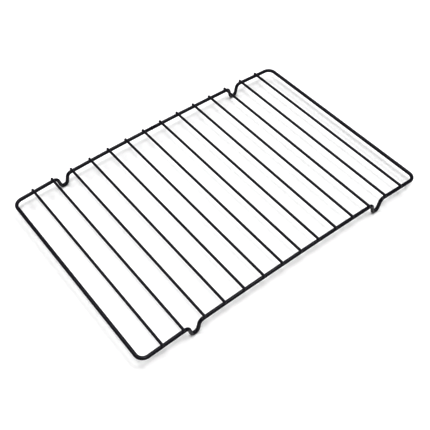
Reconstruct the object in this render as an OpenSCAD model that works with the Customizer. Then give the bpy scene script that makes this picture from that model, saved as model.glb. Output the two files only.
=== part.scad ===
// Wire cooling rack for baking: one bent frame wire with four pressed feet, closed by a butt
// weld, and a row of straight cross wires spot-welded on top of its two long sides.
//
// Millimetres. +X runs along the long sides, +Y towards the back, +Z up. The origin is on the
// surface that the rack stands on, under its middle.

/* [Rack] */
// Number of cross wires
wire_count = 14; // [10:1:20]
// Distance from one cross wire to the next, axis to axis
wire_pitch = 25; // [25:0.5:35]
// Width of the frame over its long sides, axis to axis
frame_w = 252; // [150:1:350]
// Bend radius of the frame's corners, at the wire's axis
corner_r = 9; // [6:0.5:20]

/* [Wires] */
// Diameter of the frame wire, over its coating
frame_wire_d = 4; // [3.6:0.1:4.4]
// Diameter of a cross wire, over its coating
cross_wire_d = 2.9; // [2.4:0.1:3.2]
// Depth that a cross wire sinks into the frame wire at its welds
weld_sink = 0.8; // [0.4:0.05:1]
// Length of a cross wire past the frame wire's axis, at each end
wire_overhang = 1.9; // [1.6:0.1:4]

/* [Feet] */
// Gap between cross wires that holds a foot, counted from each end of the rack
foot_gap = 3; // [3:1:4]
// Depth of a foot below the long side, at the wire's axis
foot_depth = 14.25; // [12:0.25:16]
// Slope of a foot's legs, in degrees from level
leg_slope = 76; // [74:1:80]
// Bend radius of a foot's shoulders, at the wire's axis
shoulder_r = 5.5; // [4.5:0.1:5.6]
// Bend radius of a foot's toe, at the wire's axis
toe_r = 4.5; // [4:0.1:4.6]

/* [Shape] */
// Height that the middle of a long side arches over its feet
crown = 1.8; // [0.5:0.1:3]
// Slope of the rack's ends down from the feet outwards, in degrees
end_droop = 3; // [0:0.5:5]

/* [Welds] */
// Radius of a spot weld's collar, from the middle of the joint
weld_r = 2.2; // [2.1:0.05:2.3]
// Gap between the frame wire's two ends, filled by the butt weld
butt_gap = 0.4; // [0.2:0.1:0.8]
// Width of the butt weld's bead along the wire
bead_w = 1.8; // [1.2:0.1:2.4]
// Height of the butt weld's bead over the wire
bead_h = 0.35; // [0.2:0.05:0.5]

/* [Hidden] */
$fn = 48;
coating = "#1c1c20";
// How far a cutting shape runs past what it cuts
clear = 1;
// Length and height of the collar that laps each joint of the frame wire's solids
collar_l = 0.3;
collar_h = 0.02;

// The two planes that the wire is bent in: flat, for corners, and upright, for feet
FLAT = 0;
UPRIGHT = 90;

frame_r = frame_wire_d / 2;
cross_r = cross_wire_d / 2;
rack_l = (wire_count + 1) * wire_pitch;
foot_x = rack_l / 2 - (foot_gap - 0.5) * wire_pitch;
// Height of a cross wire's axis over the frame wire's axis
seat_h = frame_r + cross_r - weld_sink;

// Straight stretch of a foot's leg, and the foot's half-length along the rack
leg_l = (foot_depth - (shoulder_r + toe_r) * (1 - cos(leg_slope))) / sin(leg_slope);
half_foot = (shoulder_r + toe_r) * sin(leg_slope) + leg_l * cos(leg_slope);

// The arch of a long side between its feet: the slope at its ends, its radius and its height
arch_run = foot_x - half_foot;
arch_slope = 2 * atan(crown / arch_run);
arch_r = shoulder_r + arch_run / sin(arch_slope);
arch_top = frame_r + foot_depth + crown;

// Where a foot's outer shoulder ends and the sloping end of the rack begins
end_x = foot_x + half_foot + shoulder_r * sin(end_droop);
end_z = frame_r + foot_depth - shoulder_r * (1 - cos(end_droop));
end_l = (rack_l / 2 - end_x) / cos(end_droop) - corner_r;

// Angle along the arch from the middle of the rack to the frame wire's cut end
cut_turn = asin(butt_gap / 2 / arch_r);

// The frame wire as a list of bends: straight length before it, turn, radius and plane.
// A turn is to the left or up when it is positive.
foot_outwards = [
    [0, arch_slope - leg_slope, shoulder_r, UPRIGHT],
    [leg_l, 2 * leg_slope, toe_r, UPRIGHT],
    [leg_l, -leg_slope - end_droop, shoulder_r, UPRIGHT]
];
foot_inwards = [
    [end_l, -leg_slope - end_droop, shoulder_r, UPRIGHT],
    [leg_l, 2 * leg_slope, toe_r, UPRIGHT],
    [leg_l, arch_slope - leg_slope, shoulder_r, UPRIGHT]
];
rack_end = [
    [end_l, -90, corner_r, FLAT],
    [frame_w - 2 * corner_r, -90, corner_r, FLAT]
];
half_arch = [[0, cut_turn - arch_slope, arch_r, UPRIGHT]];
whole_arch = [[0, -2 * arch_slope, arch_r, UPRIGHT]];
frame_bends = concat(
    half_arch, foot_outwards, rack_end, foot_inwards,
    whole_arch, foot_outwards, rack_end, foot_inwards, half_arch
);

// Position of a cross wire along the rack, counted from 1 at the left
function wire_x(number) = (number - (wire_count + 1) / 2) * wire_pitch;

// True where a cross wire lies on the arch between the feet
function on_arch(x) = abs(x) < foot_x;

// Height of a cross wire's axis, and how far its seat on the frame leans outwards
function wire_z(x) = on_arch(x)
    ? arch_top - arch_r + sqrt(pow(arch_r + seat_h, 2) - x * x)
    : end_z - (abs(x) - end_x) * tan(end_droop) + seat_h / cos(end_droop);
function seat_lean(x) = on_arch(x) ? asin(x / (arch_r + seat_h)) : sign(x) * end_droop;

function two_digits(number) = number < 10 ? str("0", number) : str(number);
function wire_name(number) = str("cross_wire_", two_digits(number));

// One bend of the frame wire, then whatever follows from its end. It starts along +X and
// turns towards +Y when the turn is positive.
module bend(turn, radius) {
    side = sign(turn);
    start = side > 0 ? -90 : 90 + turn;
    translate([0, side * radius, 0]) {
        rotate([0, 0, start])
            rotate_extrude(angle = abs(turn), $fn = ceil(12 * 360 / abs(turn)))
                translate([radius, 0])
                    circle(r = frame_r, $fn = 48);
        rotate([0, 0, turn])
            translate([0, -side * radius, 0])
                children();
    }
}

// A straight length of frame wire along +X
module straight(length) {
    rotate([0, 90, 0])
        cylinder(h = length, r = frame_r);
}

// A band a hair proud round a joint, so that the two lengths that meet there overlap
module joint_collar() {
    rotate([0, 90, 0])
        cylinder(h = collar_l, r = frame_r + collar_h, center = true);
}

// The frame wire from one bend to the end of the list, each part starting where the last ends
module bent_wire(bends, index = 0) {
    if (index < len(bends)) {
        feed = bends[index][0];
        turn = bends[index][1];
        radius = bends[index][2];
        plane = bends[index][3];
        if (index > 0)
            joint_collar();
        if (feed > 0) {
            straight(feed);
            translate([feed, 0, 0])
                joint_collar();
        }
        translate([feed, 0, 0])
            rotate([plane, 0, 0])
                bend(turn, radius)
                    rotate([-plane, 0, 0])
                        bent_wire(bends, index + 1);
    }
}

module frame_wire() {
    color(coating)
        translate([butt_gap / 2, frame_w / 2, arch_top])
            rotate([0, cut_turn, 0])
                bent_wire(frame_bends);
}

// Weld metal between the frame wire's two ends, with its bead round the outside
module frame_butt_weld() {
    bead_r = (bead_h * bead_h + bead_w * bead_w / 4) / (2 * bead_h);
    color(coating)
        translate([0, frame_w / 2, arch_top])
            rotate([0, 90, 0]) {
                cylinder(h = butt_gap, r = frame_r, center = true);
                rotate_extrude()
                    difference() {
                        translate([frame_r + bead_h - bead_r, 0])
                            circle(r = bead_r);
                        translate([-2 * bead_r, -2 * bead_r])
                            square([2 * bead_r + frame_r, 4 * bead_r]);
                    }
            }
}

// The straight piece of frame wire under a cross wire at x, as a cutting shape
module seat_cut(x, y) {
    translate([x, y, wire_z(x)])
        rotate([0, seat_lean(x), 0])
            translate([0, 0, -seat_h])
                rotate([0, 90, 0])
                    cylinder(h = 2 * (weld_r + clear), r = frame_r, center = true);
}

module straight_wire(x, length) {
    translate([x, 0, wire_z(x)])
        rotate([90, 0, 0])
            cylinder(h = length, r = cross_r, center = true);
}

// A cross wire, notched at both ends where it is pressed into the frame wire
module cross_wire(number) {
    x = wire_x(number);
    color(coating)
        difference() {
            straight_wire(x, frame_w + 2 * wire_overhang);
            for (side = [-1, 1])
                seat_cut(x, side * frame_w / 2);
        }
}

// Collar of metal and coating in the corner round one crossing
module spot_weld(x, y) {
    difference() {
        translate([x, y, wire_z(x)])
            rotate([0, seat_lean(x), 0])
                translate([0, 0, weld_sink / 2 - cross_r])
                    sphere(r = weld_r);
        seat_cut(x, y);
        straight_wire(x, frame_w + 4 * weld_r);
    }
}

// The spot welds along one long side: -1 is the front, 1 the back
module spot_welds(side) {
    color(coating)
        for (number = [1:wire_count])
            spot_weld(wire_x(number), side * frame_w / 2);
}

module front_spot_welds() {
    spot_welds(-1);
}

module back_spot_welds() {
    spot_welds(1);
}

frame_wire();
frame_butt_weld();
front_spot_welds();
back_spot_welds();
for (number = [1:wire_count])
    cross_wire(number);
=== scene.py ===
"""The finished surfaces of a wire cooling rack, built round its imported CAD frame.

One coated frame wire with four feet bent into it, a row of coated cross wires spot-welded on
top, the coating that has run into the corners at the welds, and the stage they stand on.
Metres, in the frame's own axes: +X along the long sides, +Y to the back, +Z up.
"""

import math
import random

import bmesh
import bpy
from bpy.props import (
    FloatProperty,
    FloatVectorProperty,
    IntProperty,
    PointerProperty,
    StringProperty,
)
from mathutils import Matrix, Vector


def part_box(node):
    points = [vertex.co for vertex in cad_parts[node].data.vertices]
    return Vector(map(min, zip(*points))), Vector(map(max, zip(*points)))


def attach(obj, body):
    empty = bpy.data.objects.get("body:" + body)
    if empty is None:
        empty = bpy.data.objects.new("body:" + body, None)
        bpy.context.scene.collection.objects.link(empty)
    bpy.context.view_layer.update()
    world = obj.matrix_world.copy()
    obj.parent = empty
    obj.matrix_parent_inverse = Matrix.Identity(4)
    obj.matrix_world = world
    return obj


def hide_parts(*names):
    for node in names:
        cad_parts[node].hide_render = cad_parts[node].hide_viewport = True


bl_info = {
    "name": "Wire Cooling Rack",
    "version": (1, 0, 0),
    "blender": (4, 5, 0),
    "location": "View3D > Sidebar > Cooling Rack",
    "description": "Builds a coated wire cooling rack round its CAD frame",
    "category": "Object",
}

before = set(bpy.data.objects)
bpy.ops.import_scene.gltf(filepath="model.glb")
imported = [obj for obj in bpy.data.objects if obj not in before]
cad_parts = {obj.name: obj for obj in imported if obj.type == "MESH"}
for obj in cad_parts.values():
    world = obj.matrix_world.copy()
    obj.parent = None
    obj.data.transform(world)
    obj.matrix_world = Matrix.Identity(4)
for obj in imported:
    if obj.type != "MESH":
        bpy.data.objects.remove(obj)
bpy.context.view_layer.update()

MM = 0.001
BODY = "root"

# Where the CAD frame puts things
WIRE_NODES = sorted(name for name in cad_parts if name.startswith("cross_wire_"))
FIRST_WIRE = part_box(WIRE_NODES[0])
LAST_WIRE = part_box(WIRE_NODES[-1])
BUTT_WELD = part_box("frame_butt_weld")


def middle(box):
    """The centre of a node's box."""
    return (box[0] + box[1]) / 2


WIRE_PITCH = (middle(LAST_WIRE).x - middle(FIRST_WIRE).x) / (len(WIRE_NODES) - 1)
WIRE_LENGTH = FIRST_WIRE[1].y - FIRST_WIRE[0].y
RACK_LENGTH = WIRE_PITCH * (len(WIRE_NODES) + 1)
ARCH_TOP = middle(BUTT_WELD).z


# ---------------------------------------------------------------- settings


class RackWireSettings(bpy.types.PropertyGroup):
    """Sizes of the two kinds of wire."""

    frame_wire_d: FloatProperty(
        name="Frame wire",
        description="Diameter of the frame wire over its coating",
        default=4 * MM,
        unit="LENGTH",
    )
    cross_wire_d: FloatProperty(
        name="Cross wire",
        description="Diameter of a cross wire over its coating",
        default=2.9 * MM,
        unit="LENGTH",
    )
    overhang: FloatProperty(
        name="Overhang",
        description="Length of a cross wire past the frame wire's axis",
        default=1.9 * MM,
        unit="LENGTH",
    )
    weld_sink: FloatProperty(
        name="Weld sink",
        description="Depth that a cross wire is pressed into the frame wire",
        default=0.8 * MM,
        unit="LENGTH",
    )
    end_rounding: FloatProperty(
        name="End rounding",
        description="Radius that the coating gives to a cross wire's cut ends",
        default=0.5 * MM,
        unit="LENGTH",
    )
    sides: IntProperty(
        name="Sides",
        description="Faces round a wire",
        default=48,
    )


class RackShapeSettings(bpy.types.PropertyGroup):
    """How the frame wire is bent."""

    corner_r: FloatProperty(
        name="Corner radius",
        description="Bend radius of the frame's corners, at the wire's axis",
        default=9 * MM,
        unit="LENGTH",
    )
    foot_depth: FloatProperty(
        name="Foot depth",
        description="Depth of a foot below the long side, at the wire's axis",
        default=14.25 * MM,
        unit="LENGTH",
    )
    foot_gap: IntProperty(
        name="Foot gap",
        description="Gap between cross wires that holds a foot, counted from each end",
        default=3,
    )
    leg_slope: FloatProperty(
        name="Leg slope",
        description="Slope of a foot's legs from level",
        default=math.radians(76),
        subtype="ANGLE",
    )
    shoulder_r: FloatProperty(
        name="Shoulder radius",
        description="Bend radius of a foot's shoulders, at the wire's axis",
        default=5.5 * MM,
        unit="LENGTH",
    )
    toe_r: FloatProperty(
        name="Toe radius",
        description="Bend radius of a foot's toe, at the wire's axis",
        default=4.5 * MM,
        unit="LENGTH",
    )
    crown: FloatProperty(
        name="Crown",
        description="Height that the middle of a long side arches over its feet",
        default=1.8 * MM,
        unit="LENGTH",
    )
    end_droop: FloatProperty(
        name="End droop",
        description="Slope of the rack's ends down from the feet outwards",
        default=math.radians(3),
        subtype="ANGLE",
    )
    butt_gap: FloatProperty(
        name="Butt gap",
        description="Gap between the frame wire's two ends inside the butt weld",
        default=0.4 * MM,
        unit="LENGTH",
    )


class RackWeldSettings(bpy.types.PropertyGroup):
    """The welds, with the coating that has gathered on them."""

    frame_fillet: FloatProperty(
        name="Fillet on the frame",
        description="How far a weld's fillet spreads over the frame wire",
        default=0.75 * MM,
        unit="LENGTH",
    )
    wire_fillet: FloatProperty(
        name="Fillet on the cross wire",
        description="How far a weld's fillet climbs up the cross wire",
        default=0.6 * MM,
        unit="LENGTH",
    )
    unevenness: FloatProperty(
        name="Unevenness",
        description="Share by which one fillet differs from the next",
        default=0.22,
    )
    fillet_points: IntProperty(
        name="Fillet points",
        description="Points round one weld's fillet",
        default=48,
    )
    bead_w: FloatProperty(
        name="Bead width",
        description="Width of the butt weld's bead along the wire",
        default=1.8 * MM,
        unit="LENGTH",
    )
    bead_h: FloatProperty(
        name="Bead height",
        description="Height of the butt weld's bead over the wire",
        default=0.33 * MM,
        unit="LENGTH",
    )


class RackCoatingSettings(bpy.types.PropertyGroup):
    """Colours of the coating."""

    dark: StringProperty(
        name="Coating",
        description="Colour of the coating, as an sRGB hex value",
        default="#15131d",
    )
    worn: StringProperty(
        name="Rubbed coating",
        description="Colour of the coating where it is thin or rubbed, as an sRGB hex value",
        default="#25232d",
    )


class RackStageSettings(bpy.types.PropertyGroup):
    """The floor, the lights and the camera."""

    floor_colour: StringProperty(
        name="Floor",
        description="Colour of the floor, as an sRGB hex value",
        default="#f6f6f6",
    )
    floor_radius: FloatProperty(
        name="Floor radius",
        description="Radius of the round floor, inside which the lights keep it evenly white",
        default=1.3,
        unit="LENGTH",
    )
    room_strength: FloatProperty(
        name="Room light",
        description="Strength of the light from the room all round",
        default=0.24,
    )
    backdrop_strength: FloatProperty(
        name="Backdrop",
        description="Brightness of the room as the camera sees it beyond the floor",
        default=1.0,
    )
    ceiling_size: FloatProperty(
        name="Ceiling light size",
        description="Side of the wide soft box that lights the floor evenly",
        default=4.0,
        unit="LENGTH",
    )
    ceiling_place: FloatVectorProperty(
        name="Ceiling light place",
        description="Middle of the wide soft box, which hangs a little to the back and right",
        default=(0.5, 0.6, 4.0),
        subtype="TRANSLATION",
        unit="LENGTH",
    )
    ceiling_power: FloatProperty(
        name="Ceiling light",
        description="Power of the wide soft box, in watts",
        default=132.0,
    )
    key_size: FloatProperty(
        name="Key light size",
        description="Side of the small soft box that draws the shadows",
        default=1.0,
        unit="LENGTH",
    )
    key_place: FloatVectorProperty(
        name="Key light place",
        description="Middle of the small soft box, which leans over the front left corner",
        default=(-0.9, -1.25, 4.0),
        subtype="TRANSLATION",
        unit="LENGTH",
    )
    key_power: FloatProperty(
        name="Key light",
        description="Power of the small soft box, in watts",
        default=60.0,
    )
    highlight_size: FloatProperty(
        name="Highlight light size",
        description="Side of the two small soft boxes that draw a line of light along the wires",
        default=0.9,
        unit="LENGTH",
    )
    side_power: FloatProperty(
        name="Long side highlight",
        description="Power of the soft box that the long sides mirror, in watts",
        default=34.0,
    )
    side_place: FloatVectorProperty(
        name="Long side highlight place",
        description="Middle of the soft box that the long sides mirror",
        default=(1.7, -0.6, 4.0),
        subtype="TRANSLATION",
        unit="LENGTH",
    )
    end_power: FloatProperty(
        name="End highlight",
        description="Power of the soft box that the ends and the cross wires mirror, in watts",
        default=20.0,
    )
    end_place: FloatVectorProperty(
        name="End highlight place",
        description="Middle of the soft box that the ends and the cross wires mirror",
        default=(-0.6, 2.5, 4.0),
        subtype="TRANSLATION",
        unit="LENGTH",
    )
    aim: FloatVectorProperty(
        name="Camera aim",
        description="Point that the camera looks at",
        default=(-0.0255, -0.0308, 0.018),
        subtype="TRANSLATION",
        unit="LENGTH",
    )
    azimuth: FloatProperty(
        name="Camera azimuth",
        description="Turn of the camera's view from straight towards the back",
        default=math.radians(36.58),
        subtype="ANGLE",
    )
    elevation: FloatProperty(
        name="Camera elevation",
        description="Angle that the camera looks down",
        default=math.radians(49.64),
        subtype="ANGLE",
    )
    roll: FloatProperty(
        name="Camera roll",
        description="Turn of the camera about its own view",
        default=math.radians(-1.68),
        subtype="ANGLE",
    )
    distance: FloatProperty(
        name="Camera distance",
        description="Distance from the camera to the point it looks at",
        default=0.7806,
        unit="LENGTH",
    )
    print_gamma: FloatProperty(
        name="Print gamma",
        description="Gamma of the picture: under 1 deepens its dark tones and leaves white alone",
        default=0.75,
    )
    lens: FloatProperty(
        name="Lens",
        description="Focal length in millimetres on a 36 mm sensor",
        default=60.35,
    )


SETTINGS = {
    "rack_wire": RackWireSettings,
    "rack_shape": RackShapeSettings,
    "rack_weld": RackWeldSettings,
    "rack_coating": RackCoatingSettings,
    "rack_stage": RackStageSettings,
}


# ---------------------------------------------------------------- materials

# The film on each kind of piece: its usual roughness, the spacing of its orange peel in
# millimetres, and a number that shifts its patterns away from the others'
FILMS = {
    "frame_wire": (0.26, 0.9, 1),
    "butt_weld": (0.30, 0.6, 2),
    "cross_wire": (0.34, 0.8, 3),
    "spot_weld": (0.30, 0.7, 4),
}
FILM_IOR = 1.35
PATTERN_SHIFT = (0.137, 0.071, 0.193)

# Spacing of the film's other patterns, in millimetres, and the height of its bumps
DRIFT_MM = 22
PATCH_MM = 5
GRIT_MM = 0.25
PEEL_HEIGHT = 0.06 * MM
GRIT_HEIGHT = 0.01 * MM

# Rubbing sets in over a range of upward slopes and over a range of the patches' noise. Its
# strongest share of the paler colour, and the roughness that it takes away
RUB_SLOPES = (0.55, 1.0)
RUB_NOISE = (0.42, 0.68)
RUB_MOST = 0.55
RUB_SMOOTHING = 0.1

# The drift's noise, and how far it moves the roughness down and up
DRIFT_NOISE = (0.3, 0.7)
DRIFT_DOWN = 0.05
DRIFT_UP = 0.07

# Spacing of the white board's tooth in millimetres, and its height
TOOTH_MM = 1.5
TOOTH_HEIGHT = 0.05 * MM

# Sockets of a Mix node, which has one set for numbers and one for colours
MIX_SHARE = 0
MIX_NUMBERS = (2, 3)
MIX_COLOURS = (6, 7)
MIXED_NUMBER = 0
MIXED_COLOUR = 2


def linear(hex_colour):
    """An sRGB hex colour as the linear RGBA that a shader takes."""
    shares = [int(hex_colour[i : i + 2], 16) / 255 for i in (1, 3, 5)]
    return (*[c / 12.92 if c <= 0.04045 else ((c + 0.055) / 1.055) ** 2.4 for c in shares], 1)


def without_nodes(owner):
    """Gives a new material or world an empty node tree."""
    owner.use_nodes = True
    owner.node_tree.nodes.clear()
    return owner


def add_node(owner, kind, values=(), links=(), **settings):
    """Adds a node with its settings, its inputs' values and the links into its inputs."""
    node = owner.node_tree.nodes.new(kind)
    for name, value in settings.items():
        setattr(node, name, value)
    for socket, value in dict(values).items():
        node.inputs[socket].default_value = value
    for socket, (source, output) in dict(links).items():
        owner.node_tree.links.new(source.outputs[output], node.inputs[socket])
    return node


def scale_for(spacing_mm):
    """The Scale of a noise whose features are this many millimetres apart."""
    return 1 / (spacing_mm * MM)


def nonstick_coating(kind, dark, worn):
    """Baked black non-stick coating, sprayed on bare steel wire.

    A fluoropolymer film: very dark, satin, with a weaker mirror than paint because its
    refractive index is low (1.35). Spraying leaves a fine orange peel and a drifting gloss,
    and the film is paler and smoother where goods have slid over the tops of the wires.
    The orange peel of a real film is about 0.5 mm across; it is drawn up to twice as coarse
    so that it shows.
    """
    usual, peel_mm, shift = FILMS[kind]
    material = without_nodes(bpy.data.materials.new("nonstick_coating_on_" + kind))
    place = add_node(material, "ShaderNodeTexCoord")
    shifted = add_node(
        material,
        "ShaderNodeMapping",
        values={"Location": [shift * step for step in PATTERN_SHIFT]},
        links={"Vector": (place, "Object")},
    )
    drift = add_node(
        material,
        "ShaderNodeTexNoise",
        values={"Scale": scale_for(DRIFT_MM), "Detail": 3.0, "Roughness": 0.55},
        links={"Vector": (shifted, "Vector")},
    )
    patches = add_node(
        material,
        "ShaderNodeTexNoise",
        values={"Scale": scale_for(PATCH_MM), "Detail": 4.0, "Roughness": 0.6},
        links={"Vector": (shifted, "Vector")},
    )
    peel = add_node(
        material,
        "ShaderNodeTexNoise",
        values={"Scale": scale_for(peel_mm), "Detail": 2.0, "Roughness": 0.5},
        links={"Vector": (shifted, "Vector")},
    )
    grit = add_node(
        material,
        "ShaderNodeTexNoise",
        values={"Scale": scale_for(GRIT_MM), "Detail": 1.0},
        links={"Vector": (shifted, "Vector")},
    )
    # Rubbing: only on faces that look up, and only in patches
    facing = add_node(material, "ShaderNodeNewGeometry")
    split = add_node(
        material, "ShaderNodeSeparateXYZ", links={"Vector": (facing, "Normal")}
    )
    upward = add_node(
        material,
        "ShaderNodeMapRange",
        values={"From Min": RUB_SLOPES[0], "From Max": RUB_SLOPES[1]},
        links={"Value": (split, "Z")},
    )
    patchy = add_node(
        material,
        "ShaderNodeMapRange",
        values={"From Min": RUB_NOISE[0], "From Max": RUB_NOISE[1], "To Max": RUB_MOST},
        links={"Value": (patches, "Fac")},
    )
    rubbed = add_node(
        material,
        "ShaderNodeMath",
        operation="MULTIPLY",
        links={0: (upward, "Result"), 1: (patchy, "Result")},
    )
    colour = add_node(
        material,
        "ShaderNodeMix",
        data_type="RGBA",
        values=dict(zip(MIX_COLOURS, (linear(dark), linear(worn)))),
        links={MIX_SHARE: (rubbed, "Value")},
    )
    roughness = add_node(
        material,
        "ShaderNodeMapRange",
        values={
            "From Min": DRIFT_NOISE[0],
            "From Max": DRIFT_NOISE[1],
            "To Min": usual - DRIFT_DOWN,
            "To Max": usual + DRIFT_UP,
        },
        links={"Value": (drift, "Fac")},
    )
    smoothed = add_node(
        material,
        "ShaderNodeMath",
        operation="MULTIPLY_ADD",
        values={1: -RUB_SMOOTHING},
        links={0: (rubbed, "Value"), 2: (roughness, "Result")},
    )
    peel_bump = add_node(
        material,
        "ShaderNodeBump",
        values={"Strength": 0.4, "Distance": PEEL_HEIGHT},
        links={"Height": (peel, "Fac")},
    )
    grit_bump = add_node(
        material,
        "ShaderNodeBump",
        values={"Strength": 0.25, "Distance": GRIT_HEIGHT},
        links={"Height": (grit, "Fac"), "Normal": (peel_bump, "Normal")},
    )
    shader = add_node(
        material,
        "ShaderNodeBsdfPrincipled",
        values={"IOR": FILM_IOR, "Metallic": 0.0},
        links={
            "Base Color": (colour, MIXED_COLOUR),
            "Roughness": (smoothed, "Value"),
            "Normal": (grit_bump, "Normal"),
        },
    )
    add_node(material, "ShaderNodeOutputMaterial", links={"Surface": (shader, "BSDF")})
    return material


def matt_board(name, colour):
    """Matt white board: even and without gloss, with a faint tooth in its surface."""
    material = without_nodes(bpy.data.materials.new(name))
    place = add_node(material, "ShaderNodeTexCoord")
    tooth = add_node(
        material,
        "ShaderNodeTexNoise",
        values={"Scale": scale_for(TOOTH_MM), "Detail": 2.0},
        links={"Vector": (place, "Object")},
    )
    bump = add_node(
        material,
        "ShaderNodeBump",
        values={"Strength": 0.05, "Distance": TOOTH_HEIGHT},
        links={"Height": (tooth, "Fac")},
    )
    shader = add_node(
        material,
        "ShaderNodeBsdfPrincipled",
        values={"Base Color": linear(colour), "Roughness": 0.9, "IOR": 1.45},
        links={"Normal": (bump, "Normal")},
    )
    add_node(material, "ShaderNodeOutputMaterial", links={"Surface": (shader, "BSDF")})
    return material


# ---------------------------------------------------------------- the frame wire

# Largest miss that is let pass where the bent wire comes back to its start
CLOSING_TOLERANCE = 0.01 * MM


def bend_sizes(wire, shape):
    """The lengths, slopes and radii that the frame wire's bends are worked out from."""
    radius = wire.frame_wire_d / 2
    slope = shape.leg_slope
    both = shape.shoulder_r + shape.toe_r
    leg = (shape.foot_depth - both * (1 - math.cos(slope))) / math.sin(slope)
    half_foot = both * math.sin(slope) + leg * math.cos(slope)
    foot_x = RACK_LENGTH / 2 - (shape.foot_gap - 0.5) * WIRE_PITCH
    run = foot_x - half_foot
    arch_slope = 2 * math.atan(shape.crown / run)
    end_x = foot_x + half_foot + shape.shoulder_r * math.sin(shape.end_droop)
    return {
        "leg": leg,
        "foot_x": foot_x,
        "arch_slope": arch_slope,
        "arch_r": shape.shoulder_r + run / math.sin(arch_slope),
        "end_x": end_x,
        "end_z": radius + shape.foot_depth
        - shape.shoulder_r * (1 - math.cos(shape.end_droop)),
        "end": (RACK_LENGTH / 2 - end_x) / math.cos(shape.end_droop) - shape.corner_r,
        "width": WIRE_LENGTH - 2 * wire.overhang,
    }


def seat_height(wire):
    """Height of a cross wire's axis over the frame wire's axis."""
    return (wire.frame_wire_d + wire.cross_wire_d) / 2 - wire.weld_sink


def seat(x, wire, shape):
    """Height of a cross wire's axis at x, and how far its seat leans outwards."""
    size = bend_sizes(wire, shape)
    height = seat_height(wire)
    if abs(x) < size["foot_x"]:
        reach = size["arch_r"] + height
        z = ARCH_TOP - size["arch_r"] + math.sqrt(reach**2 - x * x)
        return z, math.asin(x / reach)
    drop = (abs(x) - size["end_x"]) * math.tan(shape.end_droop)
    z = size["end_z"] - drop + height / math.cos(shape.end_droop)
    return z, math.copysign(shape.end_droop, x)


def frame_bends(wire, shape):
    """The frame wire as straight length, turn, bend radius and the bend's plane.

    A positive turn is up in the upright plane and left in the flat one.
    """
    size = bend_sizes(wire, shape)
    slope, droop = shape.leg_slope, shape.end_droop
    shoulder_in = (size["arch_slope"] - slope, shape.shoulder_r, "upright")
    shoulder_out = (-slope - droop, shape.shoulder_r, "upright")
    toe = (2 * slope, shape.toe_r, "upright")
    corner = (-math.pi / 2, shape.corner_r, "flat")
    outwards = [(0, *shoulder_in), (size["leg"], *toe), (size["leg"], *shoulder_out)]
    inwards = [(size["end"], *shoulder_out), (size["leg"], *toe), (size["leg"], *shoulder_in)]
    rack_end = [(size["end"], *corner), (size["width"] - 2 * shape.corner_r, *corner)]
    cut = math.asin(shape.butt_gap / 2 / size["arch_r"])
    half = [(0, cut - size["arch_slope"], size["arch_r"], "upright")]
    whole = [(0, -2 * size["arch_slope"], size["arch_r"], "upright")]
    return half + outwards + rack_end + inwards + whole + outwards + rack_end + inwards + half


class WireBender:
    """Grows a tube by feeding it forward and bending it, as a wire bender does."""

    # Longest faces along the tube: on the straight, in a tight bend and in a wide one
    FEED_STEP = 12 * MM
    BEND_STEP = math.radians(6)
    LONG_BEND_STEP = 12 * MM

    def __init__(self, start, radius, sides):
        self.mesh = bmesh.new()
        self.at = Vector(start)
        self.forward = Vector((1, 0, 0))
        self.up = Vector((0, 0, 1))
        ring = Matrix.Translation(self.at) @ Matrix.Rotation(math.pi / 2, 4, "Y")
        bmesh.ops.create_circle(
            self.mesh, cap_ends=False, segments=sides, radius=radius, matrix=ring
        )
        self.rim = self.mesh.edges[:]

    def feed(self, length):
        """Pushes the tube's open end straight on."""
        steps = math.ceil(length / self.FEED_STEP)
        for _ in range(steps):
            grown = bmesh.ops.extrude_edge_only(self.mesh, edges=self.rim)["geom"]
            verts = [g for g in grown if isinstance(g, bmesh.types.BMVert)]
            step = self.forward * (length / steps)
            bmesh.ops.translate(self.mesh, verts=verts, vec=step)
            self.rim = [g for g in grown if isinstance(g, bmesh.types.BMEdge)]
        self.at = self.at + self.forward * length

    def bend(self, turn, radius, plane):
        """Turns the tube's open end round a former of the given radius."""
        left = self.up.cross(self.forward)
        towards = self.up if plane == "upright" else left
        centre = self.at + towards * math.copysign(radius, turn)
        axis = self.forward.cross(towards)
        steps = math.ceil(
            max(abs(turn) / self.BEND_STEP, abs(turn) * radius / self.LONG_BEND_STEP)
        )
        spun = bmesh.ops.spin(
            self.mesh, geom=self.rim, cent=centre, axis=axis, angle=turn, steps=steps
        )
        self.rim = [g for g in spun["geom_last"] if isinstance(g, bmesh.types.BMEdge)]
        rotation = Matrix.Rotation(turn, 3, axis)
        self.at = centre + rotation @ (self.at - centre)
        self.forward = (rotation @ self.forward).normalized()
        self.up = (rotation @ self.up).normalized()

    def finish(self, name):
        """Closes both ends and returns the tube as an object."""
        rims = [edge for edge in self.mesh.edges if edge.is_boundary]
        bmesh.ops.holes_fill(self.mesh, edges=rims, sides=0)
        return as_object(self.mesh, name)


def as_object(mesh, name):
    """Turns a finished bmesh into a smooth-shaded object at the origin."""
    bmesh.ops.recalc_face_normals(mesh, faces=mesh.faces)
    for face in mesh.faces:
        face.smooth = True
    data = bpy.data.meshes.new(name)
    mesh.to_mesh(data)
    mesh.free()
    piece = bpy.data.objects.new(name, data)
    bpy.context.scene.collection.objects.link(piece)
    return piece


def fit_to_rack(piece, material, node):
    """Gives a piece its material and puts it in place of its CAD node."""
    piece.data.materials.append(material)
    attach(piece, BODY)
    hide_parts(node)


# ---------------------------------------------------------------- cross wires

# Steps in the rounding of a cross wire's end
END_STEPS = 5


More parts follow.
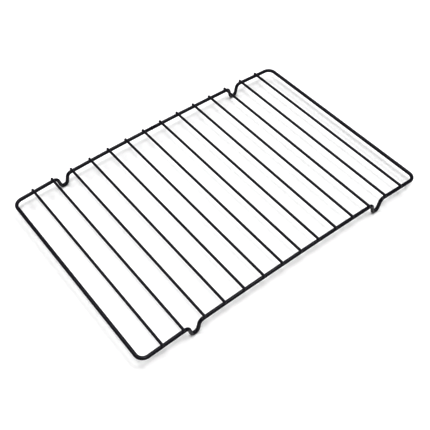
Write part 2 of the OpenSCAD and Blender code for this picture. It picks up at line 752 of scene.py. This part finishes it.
def cut_wire(name, centre, length, radius, rounding, sides):
    """A straight wire along Y, sheared off square and rounded at its ends by the coating."""
    mesh = bmesh.new()
    start = Matrix.Translation(centre - Vector((0, length / 2, 0)))
    facing = start @ Matrix.Rotation(math.pi / 2, 4, "X")
    bmesh.ops.create_circle(mesh, cap_ends=True, segments=sides, radius=radius, matrix=facing)
    grown = bmesh.ops.extrude_face_region(mesh, geom=mesh.faces[:])["geom"]
    verts = [g for g in grown if isinstance(g, bmesh.types.BMVert)]
    bmesh.ops.translate(mesh, verts=verts, vec=(0, length, 0))
    rims = [
        edge
        for edge in mesh.edges
        if abs(edge.verts[0].co.y - edge.verts[1].co.y) < length / 2
    ]
    bmesh.ops.bevel(
        mesh,
        geom=rims,
        offset=rounding,
        segments=END_STEPS,
        profile=0.5,
        affect="EDGES",
        material=-1,
    )
    return as_object(mesh, name)


# ---------------------------------------------------------------- welds

# A weld is made uneven by three waves round it, with this many crests each
CRESTS = (2, 3, 4)

# A fillet's section: its steps, how deep its rims sink into the wires, and the share of the way
# from its corner to the middle of the joint where its hidden faces meet
FILLET_STEPS = 5
FILLET_SINK = 0.015 * MM
HIDDEN_DEPTH = 0.35

# The butt weld's bead: steps over its section, the power that fills its crown out, how deep
# its rims sink into the wire, its closed side as a share of the wire's radius, how much of its
# height the waves take away on average, and their seed
BEAD_STEPS = 8
BEAD_FULLNESS = 0.8
BEAD_SINK = 0.02 * MM
BEAD_INSIDE = 0.6
BEAD_LOSS = 0.18
BEAD_SEED = 7


def edges_of(mesh, row):
    """The edges of a closed row of points."""
    return [mesh.edges.get((a, b)) for a, b in zip(row, row[1:] + row[:1])]


def next_row(mesh, row):
    """Extrudes a closed row of points, and returns the new row in the same order."""
    grown = bmesh.ops.extrude_edge_only(mesh, edges=edges_of(mesh, row))["geom"]
    new = {g for g in grown if isinstance(g, bmesh.types.BMVert)}
    return [next(e.other_vert(v) for e in v.link_edges if e.other_vert(v) in new) for v in row]


def outward(points, index):
    """The direction across a closed flat line, away from its middle, at one point."""
    before, after = points[index - 1], points[(index + 1) % len(points)]
    along = (after - before).normalized()
    return Vector((along.y, -along.x))


def crossing_line(count, frame_r, wire_r, height):
    """Points where a cross wire meets the frame wire, round their crossing.

    The frame wire's axis is X and the cross wire's is parallel to Y at the given height.
    """
    half = math.sqrt(wire_r**2 - (height - frame_r) ** 2)
    line = []
    for step in range(count):
        angle = 2 * math.pi * step / count
        x = half * math.cos(angle)
        z = height - math.sqrt(wire_r**2 - x * x)
        y = math.copysign(math.sqrt(max(frame_r**2 - z * z, 0)), math.sin(angle))
        line.append(Vector((x, y, z)))
    return line


def fillet_rows(line, frame_r, wire_r, height, on_frame, on_wire):
    """Rows of points from the frame wire to the cross wire, hollow between them."""
    over_frame = [Vector((p.x, frame_r * math.atan2(p.y, p.z))) for p in line]
    over_wire = [Vector((wire_r * math.atan2(p.x, height - p.z), p.y)) for p in line]
    low, high = [], []
    for index, spread in enumerate(on_frame):
        flat = over_frame[index] + outward(over_frame, index) * spread
        angle = flat.y / frame_r
        radius = frame_r - FILLET_SINK
        low.append(Vector((flat.x, radius * math.sin(angle), radius * math.cos(angle))))
    for index, climb in enumerate(on_wire):
        flat = over_wire[index] + outward(over_wire, index) * climb
        angle = flat.x / wire_r
        radius = wire_r - FILLET_SINK
        high.append(
            Vector((radius * math.sin(angle), flat.y, height - radius * math.cos(angle)))
        )
    rows = []
    for step in range(FILLET_STEPS + 1):
        t = step / FILLET_STEPS
        ends_and_corner = zip(low, line, high)
        rows.append(
            [a * (1 - t) ** 2 + c * 2 * t * (1 - t) + b * t * t for a, c, b in ends_and_corner]
        )
    heart = Vector((0, 0, (frame_r + height - wire_r) / 2))
    rows.append([p.lerp(heart, HIDDEN_DEPTH) for p in line])
    return rows


def add_fillet(mesh, place, wire, weld, chance):
    """One weld's fillet: a ring of coating and pressed-out metal in the corner of a crossing."""
    frame_r, wire_r = wire.frame_wire_d / 2, wire.cross_wire_d / 2
    count = weld.fillet_points
    line = crossing_line(count, frame_r, wire_r, seat_height(wire))
    size = 1 + weld.unevenness * chance.uniform(-0.5, 0.5)
    phases = [chance.uniform(0, 2 * math.pi) for _ in CRESTS]
    shares = []
    for index in range(count):
        turn = 2 * math.pi * index / count
        waves = sum(math.sin(n * turn + phase) / n for n, phase in zip(CRESTS, phases))
        shares.append(size * (1 + weld.unevenness * waves))
    rows = fillet_rows(
        line,
        frame_r,
        wire_r,
        seat_height(wire),
        [weld.frame_fillet * share for share in shares],
        [weld.wire_fillet * share for share in shares],
    )
    made = bmesh.ops.create_circle(mesh, cap_ends=False, segments=count, radius=1)["verts"]
    rings = [list(made)]
    while len(rings) < len(rows):
        rings.append(next_row(mesh, rings[-1]))
    for ring, points in zip(rings, rows):
        for vert, point in zip(ring, points):
            vert.co = place @ point
    foot, top, heart = rings[0], rings[-2], rings[-1]
    bmesh.ops.bridge_loops(mesh, edges=edges_of(mesh, foot) + edges_of(mesh, heart))
    # The hidden faces turn back sharply here, and mustn't shade the fillet's rims
    for edge in edges_of(mesh, foot) + edges_of(mesh, top):
        edge.smooth = False


# ---------------------------------------------------------------- operators

# The floor's sides, how far it lies under the toes so that they don't share its surface, and
# the nearest distance that the camera sees
FLOOR_SIDES = 96
FLOOR_DROP = 0.02 * MM
CAMERA_CLIP = 0.01


class RackBuilder:
    """What the operators share."""

    bl_options = {"REGISTER", "UNDO"}

    def coating(self, context, kind):
        colours = context.scene.rack_coating
        return nonstick_coating(kind, colours.dark, colours.worn)


class RACK_OT_frame_wire(RackBuilder, bpy.types.Operator):
    """Bend the coated frame wire, with its corners and feet"""

    bl_idname = "cooling_rack.frame_wire"
    bl_label = "Frame Wire"

    def execute(self, context):
        wire, shape = context.scene.rack_wire, context.scene.rack_shape
        size = bend_sizes(wire, shape)
        start = (shape.butt_gap / 2, size["width"] / 2, ARCH_TOP)
        bender = WireBender(start, wire.frame_wire_d / 2, wire.sides)
        for length, turn, radius, plane in frame_bends(wire, shape):
            if length:
                bender.feed(length)
            bender.bend(turn, radius, plane)
        closing = Vector((-shape.butt_gap / 2, size["width"] / 2, ARCH_TOP))
        if (bender.at - closing).length > CLOSING_TOLERANCE:
            raise RuntimeError("the frame wire's bends don't bring it back to its start")
        piece = bender.finish("coated_frame_wire")
        coating = self.coating(context, "frame_wire")
        fit_to_rack(piece, coating, "frame_wire")
        return {"FINISHED"}


class RACK_OT_butt_weld(RackBuilder, bpy.types.Operator):
    """Put the bead of the butt weld round the frame wire's closed ends"""

    bl_idname = "cooling_rack.butt_weld"
    bl_label = "Butt Weld"

    def execute(self, context):
        wire, weld = context.scene.rack_wire, context.scene.rack_weld
        centre = middle(BUTT_WELD)
        radius = wire.frame_wire_d / 2
        chance = random.Random(BEAD_SEED)
        mesh = bmesh.new()
        # The bead's section over the wire, closed by a line inside the wire
        section = []
        for step in range(BEAD_STEPS + 1):
            across = step / BEAD_STEPS - 0.5
            rise = weld.bead_h * math.cos(math.pi * across) ** BEAD_FULLNESS
            at = Vector((weld.bead_w * across, 0, radius - BEAD_SINK + rise))
            section.append(mesh.verts.new(centre + at))
        for along in (weld.bead_w / 2, -weld.bead_w / 2):
            section.append(mesh.verts.new(centre + Vector((along, 0, radius * BEAD_INSIDE))))
        outline = [
            mesh.edges.new((a, b)) for a, b in zip(section, section[1:] + section[:1])
        ]
        bmesh.ops.spin(
            mesh,
            geom=section + outline,
            cent=centre,
            axis=(1, 0, 0),
            angle=2 * math.pi,
            steps=wire.sides,
            use_merge=True,
        )
        phases = [chance.uniform(0, 2 * math.pi) for _ in CRESTS]
        for vert in mesh.verts:
            offset = vert.co - centre
            rise = math.hypot(offset.y, offset.z) - radius
            if rise > 0:
                turn = math.atan2(offset.z, offset.y)
                waves = [math.sin(n * turn + phase) for n, phase in zip(CRESTS, phases)]
                loss = BEAD_LOSS * (1 - sum(waves) / len(waves))
                keep = 1 - loss * rise / (radius + rise)
                vert.co.y = centre.y + offset.y * keep
                vert.co.z = centre.z + offset.z * keep
        piece = as_object(mesh, "butt_weld_bead")
        coating = self.coating(context, "butt_weld")
        fit_to_rack(piece, coating, "frame_butt_weld")
        return {"FINISHED"}


class RACK_OT_cross_wires(RackBuilder, bpy.types.Operator):
    """Cut and coat the cross wires"""

    bl_idname = "cooling_rack.cross_wires"
    bl_label = "Cross Wires"

    def execute(self, context):
        wire, shape = context.scene.rack_wire, context.scene.rack_shape
        coating = self.coating(context, "cross_wire")
        for node in WIRE_NODES:
            x = middle(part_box(node)).x
            z, _ = seat(x, wire, shape)
            piece = cut_wire(
                "coated_" + node,
                Vector((x, 0, z)),
                WIRE_LENGTH,
                wire.cross_wire_d / 2,
                wire.end_rounding,
                wire.sides,
            )
            fit_to_rack(piece, coating, node)
        return {"FINISHED"}


class RACK_OT_spot_welds(RackBuilder, bpy.types.Operator):
    """Run the coating into the corners of every spot weld"""

    bl_idname = "cooling_rack.spot_welds"
    bl_label = "Spot Welds"

    def execute(self, context):
        wire, shape = context.scene.rack_wire, context.scene.rack_shape
        weld = context.scene.rack_weld
        coating = self.coating(context, "spot_weld")
        size = bend_sizes(wire, shape)
        for side, name in ((-1, "front"), (1, "back")):
            chance = random.Random(name)
            mesh = bmesh.new()
            for node in WIRE_NODES:
                x = middle(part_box(node)).x
                z, lean = seat(x, wire, shape)
                place = (
                    Matrix.Translation((x, side * size["width"] / 2, z))
                    @ Matrix.Rotation(lean, 4, "Y")
                    @ Matrix.Translation((0, 0, -seat_height(wire)))
                )
                add_fillet(mesh, place, wire, weld, chance)
            piece = as_object(mesh, name + "_weld_fillets")
            fit_to_rack(piece, coating, name + "_spot_welds")
        return {"FINISHED"}


class RACK_OT_stage(RackBuilder, bpy.types.Operator):
    """Lay the floor, hang the lights and place the camera"""

    bl_idname = "cooling_rack.stage"
    bl_label = "Stage"

    def execute(self, context):
        stage = context.scene.rack_stage
        self.lay_floor(stage)
        self.light(context, stage)
        self.place_camera(context, stage)
        return {"FINISHED"}

    def lay_floor(self, stage):
        mesh = bmesh.new()
        bmesh.ops.create_circle(
            mesh, cap_ends=True, segments=FLOOR_SIDES, radius=stage.floor_radius
        )
        bmesh.ops.translate(mesh, verts=mesh.verts, vec=(0, 0, -FLOOR_DROP))
        floor = as_object(mesh, "floor")
        floor.data.materials.append(matt_board("matt_white_board", stage.floor_colour))

    def light(self, context, stage):
        world = without_nodes(bpy.data.worlds.new("pale_room"))
        seen = add_node(world, "ShaderNodeLightPath")
        strength = add_node(
            world,
            "ShaderNodeMix",
            values=dict(zip(MIX_NUMBERS, (stage.room_strength, stage.backdrop_strength))),
            links={MIX_SHARE: (seen, "Is Camera Ray")},
        )
        room = add_node(
            world,
            "ShaderNodeBackground",
            values={"Color": (1, 1, 1, 1)},
            links={"Strength": (strength, MIXED_NUMBER)},
        )
        add_node(world, "ShaderNodeOutputWorld", links={"Surface": (room, "Background")})
        context.scene.world = world
        self.hang_light(
            "ceiling_soft_box", stage.ceiling_power, stage.ceiling_size, stage.ceiling_place
        )
        self.hang_light("key_soft_box", stage.key_power, stage.key_size, stage.key_place)
        size = stage.highlight_size
        self.hang_light("side_soft_box", stage.side_power, size, stage.side_place)
        self.hang_light("end_soft_box", stage.end_power, size, stage.end_place)

    def hang_light(self, name, power, size, place):
        lamp = bpy.data.lights.new(name, "AREA")
        lamp.energy = power
        lamp.size = size
        box = bpy.data.objects.new(name, lamp)
        box.location = place
        box.rotation_euler = (-Vector(place)).to_track_quat("-Z", "Y").to_euler()
        bpy.context.scene.collection.objects.link(box)

    def place_camera(self, context, stage):
        flat = math.cos(stage.elevation)
        view = Vector(
            (
                math.sin(stage.azimuth) * flat,
                math.cos(stage.azimuth) * flat,
                -math.sin(stage.elevation),
            )
        )
        lens = bpy.data.cameras.new("camera")
        lens.lens = stage.lens
        lens.clip_start = CAMERA_CLIP
        camera = bpy.data.objects.new("camera", lens)
        turned = view.to_track_quat("-Z", "Y").to_matrix().to_4x4()
        place = Matrix.Translation(Vector(stage.aim) - view * stage.distance)
        camera.matrix_world = place @ turned @ Matrix.Rotation(stage.roll, 4, "Z")
        context.scene.collection.objects.link(camera)
        context.scene.camera = camera
        context.scene.view_settings.view_transform = "Standard"
        context.scene.view_settings.gamma = stage.print_gamma


class RACK_PT_sidebar(bpy.types.Panel):
    """Buttons and sizes for the cooling rack, in the sidebar"""

    bl_label = "Cooling Rack"
    bl_idname = "RACK_PT_sidebar"
    bl_space_type = "VIEW_3D"
    bl_region_type = "UI"
    bl_category = "Cooling Rack"

    def draw(self, context):
        for operator in OPERATORS:
            self.layout.operator(operator.bl_idname)
        for name, group in SETTINGS.items():
            box = self.layout.box()
            for prop in group.__annotations__:
                box.prop(getattr(context.scene, name), prop)


OPERATORS = (
    RACK_OT_frame_wire,
    RACK_OT_butt_weld,
    RACK_OT_cross_wires,
    RACK_OT_spot_welds,
    RACK_OT_stage,
)
CLASSES = (*SETTINGS.values(), *OPERATORS, RACK_PT_sidebar)


def register():
    for each in CLASSES:
        bpy.utils.register_class(each)
    for name, group in SETTINGS.items():
        setattr(bpy.types.Scene, name, PointerProperty(type=group))


def unregister():
    for name in SETTINGS:
        delattr(bpy.types.Scene, name)
    for each in reversed(CLASSES):
        bpy.utils.unregister_class(each)


def main():
    register()
    bpy.ops.cooling_rack.frame_wire()
    bpy.ops.cooling_rack.butt_weld()
    bpy.ops.cooling_rack.cross_wires()
    bpy.ops.cooling_rack.spot_welds()
    bpy.ops.cooling_rack.stage()


if __name__ == "__main__":
    main()
